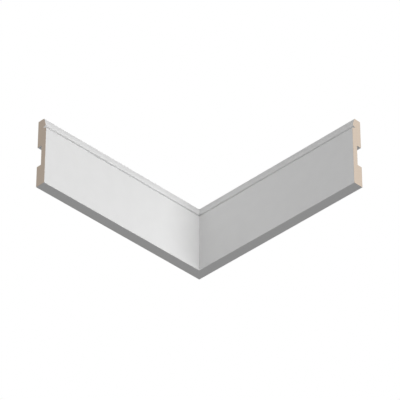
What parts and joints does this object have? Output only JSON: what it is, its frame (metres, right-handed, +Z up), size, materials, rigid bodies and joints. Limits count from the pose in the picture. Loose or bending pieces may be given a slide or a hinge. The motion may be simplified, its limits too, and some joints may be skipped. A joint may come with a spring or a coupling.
{
  "type": "skirting board",
  "caption": "Painted fibreboard skirting, mitred to turn an inner corner, with a leaning bead over a narrow quirk and a channel along the back.",
  "frame": {"origin": "on the floor, where the two walls meet", "axes": "+Z up; the right board runs along +X against the wall at Y = 0, and the left board runs along -Y against the wall at X = 0"},
  "size_m": [0.31, 0.31, 0.11],
  "materials": {
    "painted_board": "satin white paint on every long face, bare beige fibreboard on the two sawn ends"
  },
  "bodies": {
    "root": {"left_board": "painted_board", "right_board": "painted_board"}
  },
  "joints": []
}
